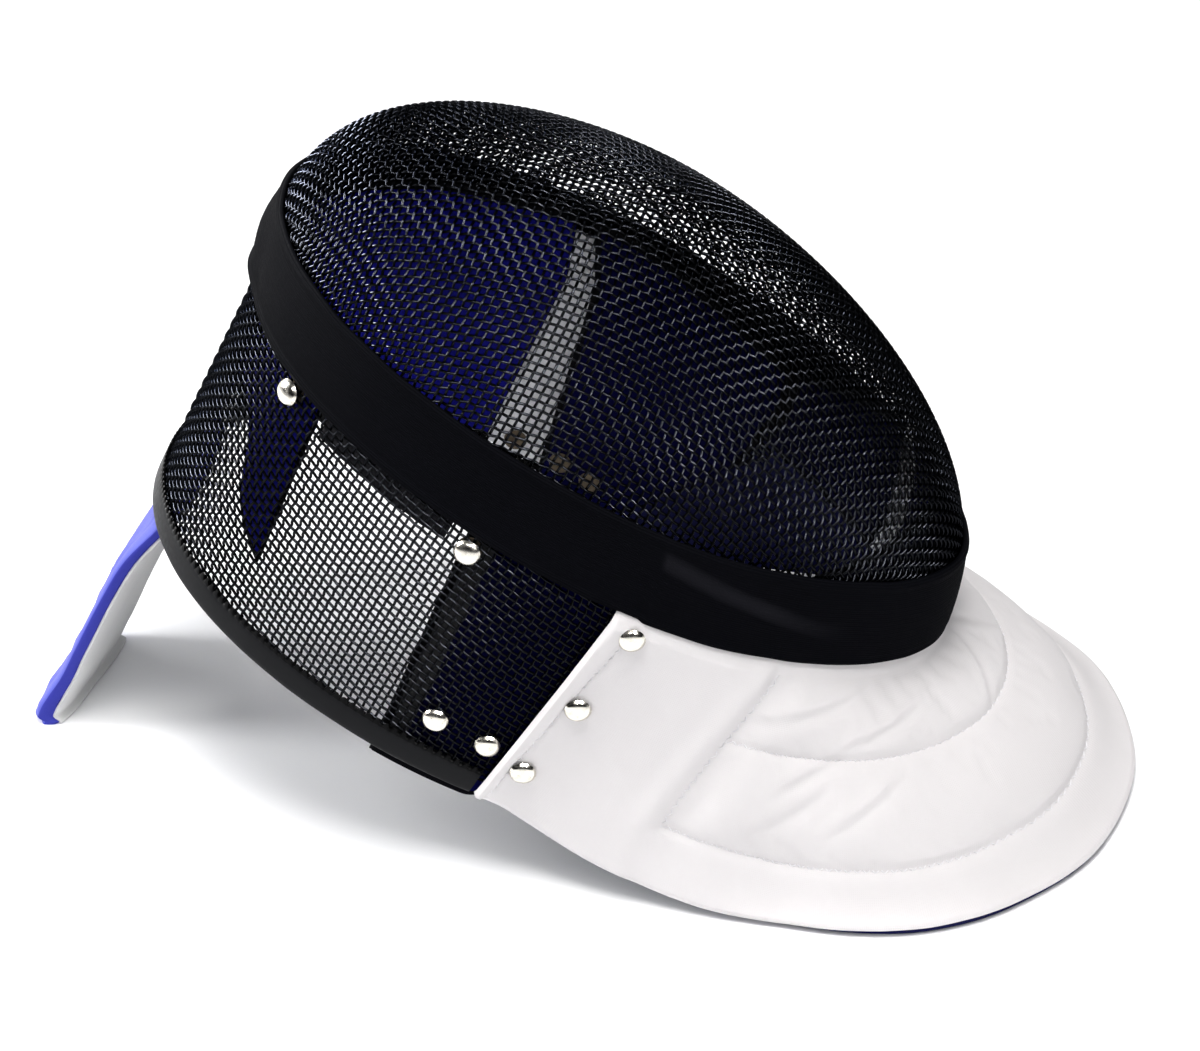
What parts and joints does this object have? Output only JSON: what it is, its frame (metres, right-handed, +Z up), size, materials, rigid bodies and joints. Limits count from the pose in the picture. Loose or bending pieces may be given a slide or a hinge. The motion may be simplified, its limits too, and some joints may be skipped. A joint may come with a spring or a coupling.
{
  "type": "fencing mask",
  "caption": "Fencing mask lying face up: woven mesh face and sides, seam band, padded lining, quilted bib and sprung tongue.",
  "frame": {"origin": "bottom centre of the bounding box, on the surface that the mask lies on", "axes": "+Z up, +X from the crown and tongue towards the chin and bib, +Y towards the wearer's left"},
  "size_m": [0.4421, 0.227, 0.2711],
  "materials": {
    "black_wire": "satin black coated wire",
    "black_elastic": "ribbed elastic",
    "black_vinyl": "smooth coated edging with a soft sheen",
    "navy_cloth": "deep blue padded cloth",
    "white_cloth": "tightly woven white cloth",
    "blue_cloth": "blue cloth",
    "nickel": "nickel plated"
  },
  "bodies": {
    "root": {"face_mesh": "black_wire", "side_mesh": "black_wire", "seam_band": "black_elastic", "rim_edging": "black_vinyl", "crown_pad": "navy_cloth", "cheek_pad_right": "navy_cloth", "cheek_pad_left": "navy_cloth", "chin_pad": "navy_cloth", "lining_tape": "black_elastic", "bib": "white_cloth", "bib_lining": "blue_cloth", "tongue": "blue_cloth", "tongue_facing": "white_cloth", "rivet_crown_right": "nickel", "rivet_temple_right": "nickel", "rivet_cheek_upper_right": "nickel", "rivet_cheek_lower_right": "nickel", "rivet_bib_front_right": "nickel", "rivet_bib_middle_right": "nickel", "rivet_bib_rear_right": "nickel", "rivet_crown_left": "nickel", "rivet_temple_left": "nickel", "rivet_cheek_upper_left": "nickel", "rivet_cheek_lower_left": "nickel", "rivet_bib_front_left": "nickel", "rivet_bib_middle_left": "nickel", "rivet_bib_rear_left": "nickel"}
  },
  "joints": []
}
